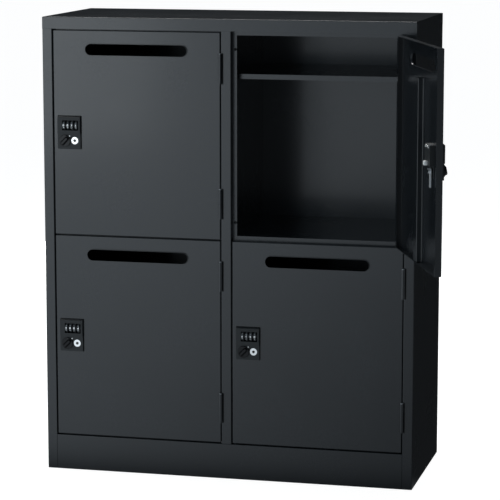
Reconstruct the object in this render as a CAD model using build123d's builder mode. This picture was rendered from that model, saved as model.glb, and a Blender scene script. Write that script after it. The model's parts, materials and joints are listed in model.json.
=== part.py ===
"""Four-door steel office locker with a mail slot, a dial lock and a turn knob in each door.

Millimetres, +Z up. The origin is on the floor under the middle of the cabinet, and the
doors face -Y. The upper right door stands open; the other three are shut.
"""

import os

from build123d import *

# Cabinet
WIDTH, DEPTH, HEIGHT = 900, 380, 1100
SHEET = 1.0  # thickness of every folded panel
BEND = 1.5  # outer radius of a visible fold
GAP = 0.3  # paint and weld gap between neighbouring panels
FRONT, BACK = -DEPTH / 2, DEPTH / 2
POST_WIDTH = 24  # front face of the side posts and of the centre post
STOP_DEPTH = 17  # from the front plane to the lips that stop the doors
STOP_LIP = 10  # how far those lips reach past their post
FASCIA = 28  # front and rear of the top panel
TOP_RETURN = 14  # sides of the top panel
BACK_RETURN = 20
PLINTH = 85

# Compartments
DECK_LEVELS = (96, 588)  # top faces of the bottom and middle decks
DECK_FLANGES = (11, 20)  # how far each deck's front flange hangs down
SHELF_RISE = 382  # mail shelf above its deck
SHELF_SETBACK = 38  # shelf front behind the front plane
SHELF_FLANGE = 11.5
BRACKET_LEG = 15

# Doors, in a frame whose Z axis is the hinge axis and whose z = 0 is the door's lower edge
DOOR_WIDTH, DOOR_HEIGHT, DOOR_DEPTH = 409, 489, 15
DOOR_GAP = 3  # above, below and at the lock edge
HINGE_GAP = 2  # at the hinge edge
HINGE_STANDOFF = 4.8  # hinge axis in front of the doors' outer face
REAR_RETURN = 10  # folded edge behind the two upright flanges of the door
SLOT_LENGTH, SLOT_HEIGHT, SLOT_DROP = 250, 28, 45
STIFFENER_WIDTH, STIFFENER_DEPTH, STIFFENER_FOOT, STIFFENER_TOP = 30, 13, 8, 410
OPEN_ANGLE = 112

# Hinges
KNUCKLE_RADIUS, PIN_RADIUS, PIN_CLEARANCE = 4.5, 2.5, 0.05
KNUCKLE_LENGTH = 35  # half of the barrel
PIN_DROP = 2  # pin's top below the barrel's
LEAF, LEAF_OVERLAP = 0.8, 1
LEAF_REACH = 14  # leaf behind the front plane
HINGE_INSET = 85  # barrel centre from the door's lower or upper edge

# Lock, in a frame whose origin is its lower left corner on the door's outer face
LOCK_WIDTH, LOCK_HEIGHT = 57, 78
LOCK_INSET, LOCK_BASE = 10, 207  # from the door's free edge and lower edge
PLATE_RISE, BLOCK_RISE, BLOCK_BASE = 5, 7, 36
CASE_SIDE, CASE_DEPTH, CASE_SHALLOW, CASE_STEP = 3.5, 26, 17, 30
CASE_BEVEL, CASE_ROUNDING = 3, 1  # top front edge and upright front edges
DIAL_COUNT, DIAL_PITCH, DIAL_FIRST, DIAL_LEVEL = 4, 10, 12.5, 56
DIAL_RADIUS, DIAL_DRUM, DIAL_HUB, DIAL_HUB_RADIUS, DIAL_PROUD = 11.5, 6, 3.4, 6, 0.5
DIGITS, GROOVE_RADIUS = 10, 0.6
AXLE_RADIUS = 1.5
KNOB_X, KNOB_Z, KNOB_RADIUS, KNOB_BASE, KNOB_RISE = 18.7, 19, 14, 9.5, 15
GRIP_LENGTH, GRIP_WIDTH, GRIP_TAPER, GRIP_ANGLE = 26, 11, 28, 45
KNOB_ROUNDING, GRIP_ROUNDING = 1, 0.8
SPINDLE_RADIUS, STUD_RADIUS, RUNNING = 5, 3, 0.05
CAM_START, CAM_SHEET, CAM_WIDTH, CAM_EYE, CAM_LENGTH, CAM_ROUNDING = 20, 2, 12, 7, 36, 3
NUT_FLATS, NUT_HEIGHT, STUD_PROUD = 10, 4, 1
KEY_X, KEY_Z, KEY_RIM, KEY_RIM_RISE, KEY_SLEEVE, KEY_PLUG = 43, 20, 9, 6.3, 6, 4.5
RIM_ROUNDING = 0.6
KEY_LENGTH, KEYHOLE_RADIUS, KEYHOLE_DEPTH, KEYWAY_HEIGHT, KEYWAY_WIDTH = 16, 2.5, 2.5, 6, 1.4
CLAMP_INSET, CLAMP_REACH, CLAMP_TAB, CLAMP_TOP_SHEET, CLAMP_REAR_SHEET = 12, 15, 8, 1.5, 1.2
SCREW_INSET, SCREW_DROP, SCREW_RADIUS, SCREW_HEAD = 18, 4, 2.6, 1.8
SLIDE_START, SLIDE_LENGTH, SLIDE_PROUD, SLIDE_HEIGHT, SLIDE_ROUNDING = 20, 12, 8, 9, 1

# Levelling feet
FOOT_RADIUS, FOOT_HEIGHT, FOOT_ROD, FOOT_ROD_TOP = 18, 6, 5, 70
FOOT_INSET_X, FOOT_INSET_Y = 45, 45
FOOT_NUT = 10
GUSSET_LEVEL, GUSSET_SHEET = 24, 3
PLINTH_FLANGE = 25  # bottom flange of the plinth ring

# Worked out from the driving dimensions
STOP = FRONT + STOP_DEPTH
POST_EDGE = WIDTH / 2 - POST_WIDTH  # opening side of a side post
LIP_EDGE = POST_EDGE - STOP_LIP
CENTRE_LIP = POST_WIDTH / 2 + STOP_LIP + GAP
SKIN = WIDTH / 2 - SHEET  # inner face of a side panel
FASCIA_BASE = HEIGHT - FASCIA
RETURN_BASE = HEIGHT - TOP_RETURN
BACK_FACE = BACK - 2 * SHEET  # inner face of the back panel
HINGE_Y = FRONT - HINGE_STANDOFF
HINGE_X = {"left": -POST_WIDTH / 2 - HINGE_GAP / 2, "right": POST_EDGE - HINGE_GAP / 2}
DOOR_BASE = {"lower": PLINTH + DOOR_GAP, "upper": PLINTH + 2 * DOOR_GAP + DOOR_HEIGHT}
FREE_EDGE = -HINGE_GAP / 2 - DOOR_WIDTH  # of a door, in its own frame
DOOR_MIDDLE = FREE_EDGE + DOOR_WIDTH / 2
HINGE_LEVELS = (HINGE_INSET, DOOR_HEIGHT - HINGE_INSET)
LOCK_PLACE = (FREE_EDGE + LOCK_INSET, HINGE_STANDOFF, LOCK_BASE)
DIAL_Y = DIAL_RADIUS - BLOCK_RISE - DIAL_PROUD
OPEN_DOOR = "upper_right"


def block(x, y, z, mode=Mode.ADD):
    """A box that fills the ranges x, y and z, each a (low, high) pair."""
    with Locations((x[0], y[0], z[0])):
        Box(x[1] - x[0], y[1] - y[0], z[1] - z[0], align=Align.MIN, mode=mode)


def rod(place, radius, y, mode=Mode.ADD):
    """A cylinder along Y at place (x, z), over the range y."""
    with Locations(Location((place[0], y[0], place[1]), (-90, 0, 0))):
        Cylinder(radius, y[1] - y[0], align=(Align.CENTER, Align.CENTER, Align.MIN), mode=mode)


def side_panel():
    """Right side: post with its stop lip, skin and back return, folded from one sheet."""
    with BuildPart() as panel:
        with BuildSketch():
            with BuildLine():
                FilletPolyline(
                    (LIP_EDGE, STOP),
                    (POST_EDGE, STOP),
                    (POST_EDGE, FRONT),
                    (WIDTH / 2, FRONT),
                    (WIDTH / 2, BACK),
                    (WIDTH / 2 - BACK_RETURN, BACK),
                    radius=BEND,
                )
                offset(amount=SHEET, side=Side.LEFT)
            make_face()
        extrude(amount=FASCIA_BASE - GAP)
        beside_plinth = (0, PLINTH + GAP)
        behind_front = (FRONT + BEND, STOP + 2 * SHEET)
        block((LIP_EDGE - SHEET, POST_EDGE), behind_front, beside_plinth, mode=Mode.SUBTRACT)
        inside_top = (FRONT + SHEET + GAP, BACK - SHEET - GAP)
        block((SKIN, WIDTH / 2), inside_top, (FASCIA_BASE - GAP, RETURN_BASE - GAP))
        flange = (STOP + 3 * SHEET, BACK_FACE - GAP)
        block((SKIN - BRACKET_LEG, SKIN), flange, (RETURN_BASE - GAP - SHEET, RETURN_BASE - GAP))
    return panel.part


def top_panel():
    """A tray turned upside down, with the lips that stop the upper doors."""
    with BuildPart() as panel:
        block((-WIDTH / 2, WIDTH / 2), (FRONT, BACK), (FASCIA_BASE, HEIGHT))
        fillet(panel.faces().sort_by(Axis.Z)[-1].edges(), BEND)
        offset(amount=-SHEET, openings=panel.faces().sort_by(Axis.Z)[0])
        between = (FRONT + SHEET + GAP, BACK - SHEET - GAP)
        for side in (-1, 1):
            edge = sorted((side * (SKIN - SHEET), side * (WIDTH / 2 + SHEET)))
            block(edge, between, (FASCIA_BASE - SHEET, RETURN_BASE), mode=Mode.SUBTRACT)
        block((-SKIN, SKIN), (FRONT, STOP + SHEET), (FASCIA_BASE, FASCIA_BASE + SHEET))
        for side in (-1, 1):
            lip = sorted((side * (CENTRE_LIP + GAP), side * (LIP_EDGE - GAP)))
            block(lip, (STOP, STOP + SHEET), (FASCIA_BASE - STOP_LIP, FASCIA_BASE))
    return panel.part


def back_panel():
    """Flat sheet inside the back returns."""
    half, top = SKIN - SHEET, RETURN_BASE - GAP
    with BuildPart() as panel:
        block((-half, half), (BACK_FACE, BACK - SHEET), (SHEET, top))
    return panel.part


def plinth_frame():
    """Ring of folded channel under the cabinet, with a gusset in each corner for a foot."""
    side, front, rear = POST_EDGE - GAP, FRONT, BACK_FACE - GAP
    with BuildPart() as ring:
        block((-side, side), (front, rear), (0, PLINTH))
        fillet(ring.edges().group_by(Axis.Y)[0].filter_by(Axis.X).sort_by(Axis.Z)[-1], BEND)
        walls = (-side + SHEET, side - SHEET), (front + SHEET, rear - SHEET)
        block(*walls, (SHEET, PLINTH - SHEET), mode=Mode.SUBTRACT)
        for flange, level in ((PLINTH_FLANGE, 0), (STOP_DEPTH, PLINTH - SHEET)):
            across, along = (-side + flange, side - flange), (front + flange, rear - flange)
            block(across, along, (level, level + SHEET), mode=Mode.SUBTRACT)
        reach_x, reach_y = FOOT_INSET_X + FOOT_RADIUS, FOOT_INSET_Y + FOOT_RADIUS
        for x in ((-side, -side + reach_x), (side - reach_x, side)):
            for y in ((front + SHEET / 2, front + reach_y), (rear - reach_y, rear)):
                block(x, y, (GUSSET_LEVEL, GUSSET_LEVEL + GUSSET_SHEET))
        with Locations(*foot_places(0)):
            Cylinder(FOOT_ROD, 2 * (GUSSET_LEVEL + GUSSET_SHEET), mode=Mode.SUBTRACT)
    return ring.part


def foot_places(z):
    """Centres of the four levelling feet."""
    side, rear = POST_EDGE - GAP, BACK_FACE - GAP
    across = (-side + FOOT_INSET_X, side - FOOT_INSET_X)
    along = (FRONT + FOOT_INSET_Y, rear - FOOT_INSET_Y)
    return [(x, y, z) for x in across for y in along]


def levelling_feet():
    """Round pads on threaded rods through the plinth's gussets, screwed fully in."""
    upright = (Align.CENTER, Align.CENTER, Align.MIN)
    with BuildPart() as feet:
        with Locations(*foot_places(0)):
            Cylinder(FOOT_RADIUS, FOOT_HEIGHT, align=upright)
            Cylinder(FOOT_ROD, FOOT_ROD_TOP, align=upright)
        with Locations(*foot_places(GUSSET_LEVEL + GUSSET_SHEET)):
            Cylinder(FOOT_NUT, FOOT_HEIGHT, align=upright)
    return feet.part


def centre_post():
    """Hat-section post between the columns; its brims stop the doors on both sides."""
    half = POST_WIDTH / 2
    with BuildPart() as post:
        with BuildSketch(Plane.XY.offset(PLINTH + GAP)):
            with BuildLine():
                FilletPolyline(
                    (-CENTRE_LIP, STOP),
                    (-half, STOP),
                    (-half, FRONT),
                    (half, FRONT),
                    (half, STOP),
                    (CENTRE_LIP, STOP),
                    radius=BEND,
                )
                offset(amount=SHEET, side=Side.LEFT)
            make_face()
        extrude(amount=FASCIA_BASE - PLINTH - 2 * GAP)
    return post.part


def centre_partition():
    """Upright sheet from the centre post to the back, notched under the fascia."""
    thickness = (-SHEET / 2, SHEET / 2)
    with BuildPart() as partition:
        block(thickness, (FRONT + SHEET + GAP, BACK_FACE - GAP), (PLINTH + GAP, FASCIA_BASE - GAP))
        upper = (STOP + 2 * SHEET, BACK_FACE - GAP)
        block(thickness, upper, (FASCIA_BASE - GAP, HEIGHT - SHEET - GAP))
    return partition.part


def deck(level, flange):
    """Floor of one right-hand compartment, folded down on all four sides."""
    near, far = SHEET / 2 + GAP, SKIN - GAP
    start, end = STOP + SHEET + GAP, BACK_FACE - GAP
    between_lips = (CENTRE_LIP + GAP, LIP_EDGE - GAP)
    with BuildPart() as floor:
        block((near, far), (start, end), (level - flange, level))
        inner = (near + SHEET, far - SHEET), (start - SHEET, end - SHEET)
        block(*inner, (level - flange - SHEET, level - SHEET), mode=Mode.SUBTRACT)
        block(between_lips, (STOP, start), (level - SHEET, level))
        block(between_lips, (STOP, STOP + SHEET), (level - flange, level))
    return floor.part


def shelf(level):
    """Mail shelf of one right-hand compartment, folded down at its front and back."""
    near, far = SHEET / 2 + GAP, SKIN - GAP
    start, end = FRONT + SHELF_SETBACK, BACK_FACE - GAP
    with BuildPart() as tray:
        block((near, far), (start, end), (level - SHELF_FLANGE, level))
        inner = (near - SHEET, far + SHEET), (start + SHEET, end - SHEET)
        block(*inner, (level - SHELF_FLANGE - SHEET, level - SHEET), mode=Mode.SUBTRACT)
    return tray.part


def shelf_bracket_pair(level):
    """Angles that carry one right-hand mail shelf, on the partition and on the side skin."""
    along = (FRONT + SHELF_SETBACK + 2 * SHEET, BACK_FACE - 3 * SHEET)
    underside = level - SHEET
    with BuildPart() as angles:
        for wall, inward in ((SHEET / 2, 1), (SKIN, -1)):
            upright = sorted((wall, wall + inward * SHEET))
            ledge = sorted((wall, wall + inward * BRACKET_LEG))
            block(upright, along, (underside - BRACKET_LEG, underside))
            block(ledge, along, (underside - SHEET, underside))
    return angles.part


def both_columns(make, places):
    """What make builds at each of places, in the right column and mirrored in the left."""
    right = [solid for place in places for solid in make(*place).solids()]
    left = [solid.mirror(Plane.YZ) for solid in right]
    return Compound(children=right + left)


def hinge_frame_half():
    """Lower leaf and knuckle on the post, and the pin that stands in it, about the hinge axis."""
    upright = (Align.CENTER, Align.CENTER, Align.MIN)
    foot = -KNUCKLE_LENGTH
    with BuildPart() as leaf:
        with Locations((0, 0, foot)):
            Cylinder(KNUCKLE_RADIUS, KNUCKLE_LENGTH - GAP / 2, align=upright)
        reach = (KNUCKLE_RADIUS - LEAF_OVERLAP, HINGE_STANDOFF + LEAF_REACH)
        block((HINGE_GAP / 2 - LEAF, HINGE_GAP / 2), reach, (foot, -GAP / 2))
        with Locations((0, 0, foot)):
            Cylinder(PIN_RADIUS, KNUCKLE_LENGTH, align=upright, mode=Mode.SUBTRACT)
    with BuildPart() as pin:
        with Locations((0, 0, foot)):
            Cylinder(PIN_RADIUS, 2 * KNUCKLE_LENGTH - PIN_DROP, align=upright)
        chamfer(pin.edges().sort_by(Axis.Z)[-1], PIN_RADIUS / 4)
    return [leaf.part, pin.part]


def hinge_frame_halves():
    """The fixed half of all eight hinges."""
    pieces = hinge_frame_half()
    places = [
        Location((x, HINGE_Y, base + level))
        for x in HINGE_X.values()
        for base in DOOR_BASE.values()
        for level in HINGE_LEVELS
    ]
    return Compound(children=[piece.moved(place) for place in places for piece in pieces])


def door_hinge_halves():
    """The two upper leaves and knuckles that lift off with the door."""
    upright = (Align.CENTER, Align.CENTER, Align.MIN)
    reach = (KNUCKLE_RADIUS - LEAF_OVERLAP, HINGE_STANDOFF + LEAF_REACH)
    with BuildPart() as halves:
        for level in HINGE_LEVELS:
            foot, top = level + GAP / 2, level + KNUCKLE_LENGTH
            with Locations((0, 0, foot)):
                Cylinder(KNUCKLE_RADIUS, top - foot, align=upright)
            block((-HINGE_GAP / 2, -HINGE_GAP / 2 + LEAF), reach, (foot, top))
            with Locations((0, 0, foot)):
                Cylinder(PIN_RADIUS + PIN_CLEARANCE, top - foot, align=upright, mode=Mode.SUBTRACT)
    return halves.part


def door_panel():
    """Folded pan with a mail slot, an opening for the lock and returns on its upright edges."""
    outer, rear = HINGE_STANDOFF, HINGE_STANDOFF + DOOR_DEPTH
    hinge_edge = FREE_EDGE + DOOR_WIDTH
    with BuildPart() as pan:
        block((FREE_EDGE, hinge_edge), (outer, rear), (0, DOOR_HEIGHT))
        fillet(pan.faces().sort_by(Axis.Y)[0].edges(), BEND)
        offset(amount=-SHEET, openings=pan.faces().sort_by(Axis.Y)[-1])
        for edge in ((FREE_EDGE, FREE_EDGE + REAR_RETURN), (hinge_edge - REAR_RETURN, hinge_edge)):
            block(edge, (rear - SHEET, rear), (0, DOOR_HEIGHT))
        with BuildSketch(Plane.XZ.offset(-outer - SHEET)):
            with Locations((DOOR_MIDDLE, DOOR_HEIGHT - SLOT_DROP)):
                SlotOverall(SLOT_LENGTH, SLOT_HEIGHT)
        extrude(amount=2 * SHEET, mode=Mode.SUBTRACT)
        hole_x = (LOCK_PLACE[0] + CASE_SIDE, LOCK_PLACE[0] + LOCK_WIDTH - CASE_SIDE)
        hole_z = (LOCK_BASE + CASE_SIDE, LOCK_BASE + LOCK_HEIGHT - CASE_SIDE)
        block(hole_x, (outer, outer + SHEET), hole_z, mode=Mode.SUBTRACT)
    return pan.part


def door_stiffener():
    """Hat-section channel welded up the middle of the door's inside."""
    skin, half = HINGE_STANDOFF + SHEET, STIFFENER_WIDTH / 2
    rear = HINGE_STANDOFF + SHEET + STIFFENER_DEPTH
    foot = half + STIFFENER_FOOT
    with BuildPart() as channel:
        with BuildSketch(Plane.XY.offset(2 * SHEET)):
            with BuildLine():
                FilletPolyline(
                    (DOOR_MIDDLE + foot, skin + SHEET),
                    (DOOR_MIDDLE + half, skin + SHEET),
                    (DOOR_MIDDLE + half, rear),
                    (DOOR_MIDDLE - half, rear),
                    (DOOR_MIDDLE - half, skin + SHEET),
                    (DOOR_MIDDLE - foot, skin + SHEET),
                    radius=BEND,
                )
                offset(amount=SHEET, side=Side.LEFT)
            make_face()
        extrude(amount=STIFFENER_TOP - 2 * SHEET)
    return channel.part


def lock_case():
    """Moulded case: front plate, raised dial block and the stepped body behind the door skin."""
    body_x = (CASE_SIDE, LOCK_WIDTH - CASE_SIDE)
    window_x = (DIAL_FIRST - GAP, DIAL_FIRST + DIAL_COUNT * DIAL_PITCH - GAP)
    window_z = (DIAL_LEVEL - DIAL_RADIUS - 2 * GAP, DIAL_LEVEL + DIAL_RADIUS + 2 * GAP)
    with BuildPart() as case:
        block((0, LOCK_WIDTH), (-PLATE_RISE, 0), (0, LOCK_HEIGHT))
        block((0, LOCK_WIDTH), (-BLOCK_RISE, 0), (BLOCK_BASE, LOCK_HEIGHT))
        chamfer(case.edges().group_by(Axis.Z)[-1].sort_by(Axis.Y)[0], CASE_BEVEL)
        fillet(case.edges().filter_by(Axis.Z).group_by(Axis.Y)[0], CASE_ROUNDING)
        block(body_x, (0, CASE_SHALLOW), (CASE_SIDE, LOCK_HEIGHT - CASE_SIDE))
        block(body_x, (0, CASE_DEPTH), (CASE_STEP, LOCK_HEIGHT - CASE_SIDE))
        window_y = (-BLOCK_RISE, DIAL_Y + DIAL_RADIUS + 3 * GAP)
        block(window_x, window_y, window_z, mode=Mode.SUBTRACT)
        rod((KNOB_X, KNOB_Z), SPINDLE_RADIUS + RUNNING, (-PLATE_RISE, CASE_SHALLOW), Mode.SUBTRACT)
        rod((KEY_X, KEY_Z), KEY_SLEEVE, (-PLATE_RISE, CASE_SHALLOW), Mode.SUBTRACT)
        with Locations(Location((CASE_SIDE, DIAL_Y, DIAL_LEVEL), (0, 90, 0))):
            along_x = (Align.CENTER, Align.CENTER, Align.MIN)
            Cylinder(AXLE_RADIUS, body_x[1] - body_x[0], align=along_x, mode=Mode.SUBTRACT)
    return case.part


def lock_metalwork():
    """Key cylinder, dial axle, rear saddle clamp with its screws, and the code-change slide."""
    top = LOCK_HEIGHT - CASE_SIDE
    along_x = (Align.CENTER, Align.CENTER, Align.MIN)
    with BuildPart() as cylinder:
        rod((KEY_X, KEY_Z), KEY_RIM, (-KEY_RIM_RISE, -PLATE_RISE))
        fillet(cylinder.edges().sort_by(Axis.Y)[0], RIM_ROUNDING)
        rod((KEY_X, KEY_Z), KEY_SLEEVE, (-PLATE_RISE, KEY_LENGTH))
        rod((KEY_X, KEY_Z), KEY_PLUG + RUNNING, (-KEY_RIM_RISE, KEY_LENGTH), Mode.SUBTRACT)
    with BuildPart() as axle:
        with Locations(Location((CASE_SIDE, DIAL_Y, DIAL_LEVEL), (0, 90, 0))):
            Cylinder(AXLE_RADIUS, LOCK_WIDTH - 2 * CASE_SIDE, align=along_x)
    with BuildPart() as clamp:
        across, rear = (CLAMP_INSET, LOCK_WIDTH - CLAMP_INSET), CASE_DEPTH + CLAMP_REAR_SHEET
        block(across, (CASE_DEPTH - CLAMP_REACH, rear), (top, top + CLAMP_TOP_SHEET))
        block(across, (CASE_DEPTH, rear), (top - CLAMP_TAB, top))
    with BuildPart() as screws:
        for x in (SCREW_INSET, LOCK_WIDTH - SCREW_INSET):
            rod((x, top - SCREW_DROP), SCREW_RADIUS, (rear, rear + SCREW_HEAD))
    with BuildPart() as slide:
        along, foot = (SLIDE_START, SLIDE_START + SLIDE_LENGTH), CASE_STEP + SHEET
        block(along, (CASE_DEPTH, CASE_DEPTH + SLIDE_PROUD), (foot, foot + SLIDE_HEIGHT))
        fillet(slide.faces().sort_by(Axis.Y)[-1].edges(), SLIDE_ROUNDING)
    pieces = (cylinder, axle, clamp, screws, slide)
    return Compound(children=[solid for piece in pieces for solid in piece.part.solids()])


def turn_knob():
    """Round knob with a raised grip, on the spindle that carries the cam."""
    start = -PLATE_RISE - GAP
    with BuildPart() as knob:
        rod((KNOB_X, KNOB_Z), KNOB_RADIUS, (-KNOB_BASE, start))
        fillet(knob.edges().sort_by(Axis.Y)[0], KNOB_ROUNDING)
        with BuildSketch(Plane.XZ.offset(KNOB_BASE)):
            with Locations(Location((KNOB_X, KNOB_Z), GRIP_ANGLE)):
                SlotOverall(GRIP_LENGTH, GRIP_WIDTH)
        extrude(amount=KNOB_RISE - KNOB_BASE, taper=GRIP_TAPER)
        fillet(knob.faces().sort_by(Axis.Y)[0].edges(), GRIP_ROUNDING)
        rod((KNOB_X, KNOB_Z), SPINDLE_RADIUS, (start, CAM_START))
        stud = (CAM_START, CAM_START + CAM_SHEET + NUT_HEIGHT + STUD_PROUD)
        rod((KNOB_X, KNOB_Z), STUD_RADIUS, stud)
    return knob.part


def locking_cam():
    """Flat cam that hangs down when unlocked, and the nut that holds it on the spindle."""
    tip = KNOB_Z - CAM_LENGTH
    with BuildPart() as cam:
        with BuildSketch(Plane.XZ.offset(-CAM_START)):
            with Locations((KNOB_X, KNOB_Z)):
                Circle(CAM_EYE)
            with Locations((KNOB_X, (KNOB_Z + tip) / 2)):
                Rectangle(CAM_WIDTH, CAM_LENGTH)
            with Locations((KNOB_X, KNOB_Z)):
                Circle(STUD_RADIUS, mode=Mode.SUBTRACT)
        extrude(amount=-CAM_SHEET)
        fillet(cam.edges().filter_by(Axis.Y).group_by(Axis.Z)[0], CAM_ROUNDING)
    with BuildPart() as nut:
        with BuildSketch(Plane.XZ.offset(-CAM_START - CAM_SHEET)):
            with Locations((KNOB_X, KNOB_Z)):
                RegularPolygon(NUT_FLATS / 2, 6, major_radius=False)
                Circle(STUD_RADIUS, mode=Mode.SUBTRACT)
        extrude(amount=-NUT_HEIGHT)
    return Compound(children=[cam.part, nut.part])


def key_plug():
    """Round plug with a recessed keyway, which the key turns."""
    mouth = -KEY_RIM_RISE - GAP
    with BuildPart() as plug:
        rod((KEY_X, KEY_Z), KEY_PLUG, (mouth, KEY_LENGTH))
        rod((KEY_X, KEY_Z), KEYHOLE_RADIUS, (mouth, mouth + KEYHOLE_DEPTH), Mode.SUBTRACT)
        across = (KEY_X - KEYWAY_WIDTH / 2, KEY_X + KEYWAY_WIDTH / 2)
        upright = (KEY_Z - KEYWAY_HEIGHT / 2, KEY_Z + KEYWAY_HEIGHT / 2)
        block(across, (mouth, KEY_LENGTH - KEYHOLE_DEPTH), upright, mode=Mode.SUBTRACT)
    return plug.part


def dial(number):
    """One code wheel: a drum with a groove between each pair of digits, and a narrow hub."""
    start = DIAL_FIRST + (number - 1) * DIAL_PITCH
    along_x = Plane(origin=(start, DIAL_Y, DIAL_LEVEL), x_dir=(0, 1, 0), z_dir=(1, 0, 0))
    with BuildPart() as wheel:
        with BuildSketch(along_x):
            Circle(DIAL_RADIUS)
            with PolarLocations(DIAL_RADIUS, DIGITS, start_angle=180 / DIGITS):
                Circle(GROOVE_RADIUS, mode=Mode.SUBTRACT)
        extrude(amount=DIAL_DRUM)
        with BuildSketch(along_x.offset(DIAL_DRUM)):
            Circle(DIAL_HUB_RADIUS)
        extrude(amount=DIAL_HUB)
        with BuildSketch(along_x):
            Circle(AXLE_RADIUS + RUNNING)
        extrude(amount=DIAL_DRUM + DIAL_HUB, mode=Mode.SUBTRACT)
    return wheel.part


def save(shape, name):
    """Write one sub-part to its own STEP file."""
    shape.label = name
    export_step(shape, f"parts/{name}.step")


os.makedirs("parts", exist_ok=True)

right_side = side_panel()
deck_sizes = list(zip(DECK_LEVELS, DECK_FLANGES))
shelf_levels = [(level + SHELF_RISE,) for level in DECK_LEVELS]
save(right_side, "side_panel_right")
save(right_side.mirror(Plane.YZ), "side_panel_left")
save(top_panel(), "top_panel")
save(back_panel(), "back_panel")
save(plinth_frame(), "plinth_frame")
save(levelling_feet(), "levelling_feet")
save(centre_post(), "centre_post")
save(centre_partition(), "centre_partition")
save(both_columns(deck, deck_sizes), "decks")
save(both_columns(shelf, shelf_levels), "mail_shelves")
save(both_columns(shelf_bracket_pair, shelf_levels), "shelf_brackets")
save(hinge_frame_halves(), "hinge_frame_halves")

in_lock = Location(LOCK_PLACE)
door_pieces = {
    "door_panel": door_panel(),
    "door_stiffener": door_stiffener(),
    "door_hinge_halves": door_hinge_halves(),
    "lock_case": lock_case().moved(in_lock),
    "lock_metalwork": lock_metalwork().moved(in_lock),
    "turn_knob": turn_knob().moved(in_lock),
    "locking_cam": locking_cam().moved(in_lock),
    "key_plug": key_plug().moved(in_lock),
}
for number in range(1, DIAL_COUNT + 1):
    door_pieces[f"dial_{number}"] = dial(number).moved(in_lock)

for row, base in DOOR_BASE.items():
    for column, hinge_x in HINGE_X.items():
        door = f"{row}_{column}"
        angle = OPEN_ANGLE if door == OPEN_DOOR else 0
        place = Location((hinge_x, HINGE_Y, base), (0, 0, angle))
        for piece, shape in door_pieces.items():
            save(shape.moved(place), f"{door}_{piece}")
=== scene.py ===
"""Four-door steel office locker: finishes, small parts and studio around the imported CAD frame.

Metres, +Z up. The origin is on the floor under the middle of the cabinet, and the doors
face -Y. The upper right door stands open.
"""

import json
from math import cos, pi, radians, sin

import bmesh
import bpy
from mathutils import Matrix, Vector


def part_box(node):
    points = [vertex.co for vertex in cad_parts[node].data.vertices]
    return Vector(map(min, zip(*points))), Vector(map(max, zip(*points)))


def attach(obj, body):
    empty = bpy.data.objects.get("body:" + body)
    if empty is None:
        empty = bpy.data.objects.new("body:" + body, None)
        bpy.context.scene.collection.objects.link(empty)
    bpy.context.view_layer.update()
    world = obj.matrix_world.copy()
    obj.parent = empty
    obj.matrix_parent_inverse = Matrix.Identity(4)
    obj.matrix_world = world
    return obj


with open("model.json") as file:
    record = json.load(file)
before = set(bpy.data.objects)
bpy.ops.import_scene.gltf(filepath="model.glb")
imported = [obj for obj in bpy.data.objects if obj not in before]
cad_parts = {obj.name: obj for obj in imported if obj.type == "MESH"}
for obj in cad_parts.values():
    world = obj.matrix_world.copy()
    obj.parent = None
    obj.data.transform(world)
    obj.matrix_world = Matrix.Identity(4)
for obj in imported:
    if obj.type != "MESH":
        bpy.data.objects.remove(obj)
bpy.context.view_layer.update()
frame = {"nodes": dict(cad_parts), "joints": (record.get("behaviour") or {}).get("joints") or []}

# ---------------------------------------------------------------------------------------
# Folded sheet steel: sides, top, back, plinth, posts, decks, shelves, doors and hinges.
# 1 mm cold-rolled sheet, folded and spot-welded, then sprayed with charcoal powder and
# baked. The powder flows out to a fine peel, thins a little on the folds and dulls there.
MM = 0.001
PAINT_DEEP = (0.0090, 0.0110, 0.0130, 1)
PAINT_PALE = (0.0120, 0.0145, 0.0170, 1)
PAINT_WORN = (0.0600, 0.0640, 0.0680, 1)


def node(tree, kind, inputs=(), **settings):
    """A node of that kind, with its settings and with its inputs' values or links."""
    made = tree.nodes.new(kind)
    for name, value in settings.items():
        setattr(made, name, value)
    for name, value in dict(inputs).items():
        if isinstance(value, bpy.types.NodeSocket):
            tree.links.new(value, made.inputs[name])
        else:
            made.inputs[name].default_value = value
    return made


def new_tree(name, kind, inputs, outputs):
    """A node group with named sockets; returns it with its inner inputs and outputs."""
    tree = bpy.data.node_groups.new(name, kind)
    for label, socket_type, value in inputs:
        socket = tree.interface.new_socket(name=label, in_out="INPUT", socket_type=socket_type)
        if value is not None:
            socket.default_value = value
    for label, socket_type in outputs:
        tree.interface.new_socket(name=label, in_out="OUTPUT", socket_type=socket_type)
    return tree, node(tree, "NodeGroupInput").outputs, node(tree, "NodeGroupOutput").inputs


def combined(tree, operation, *values):
    """Output of a math node that works on two or three values or links."""
    return node(tree, "ShaderNodeMath", enumerate(values), operation=operation).outputs[0]


def ramp(tree, value, source, target=(0.0, 1.0), shape="LINEAR"):
    """Output of a map range node, from one pair of limits to another, clamped."""
    limits = {
        "Value": value,
        "From Min": source[0],
        "From Max": source[1],
        "To Min": target[0],
        "To Max": target[1],
    }
    return node(tree, "ShaderNodeMapRange", limits, interpolation_type=shape).outputs[0]


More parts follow.
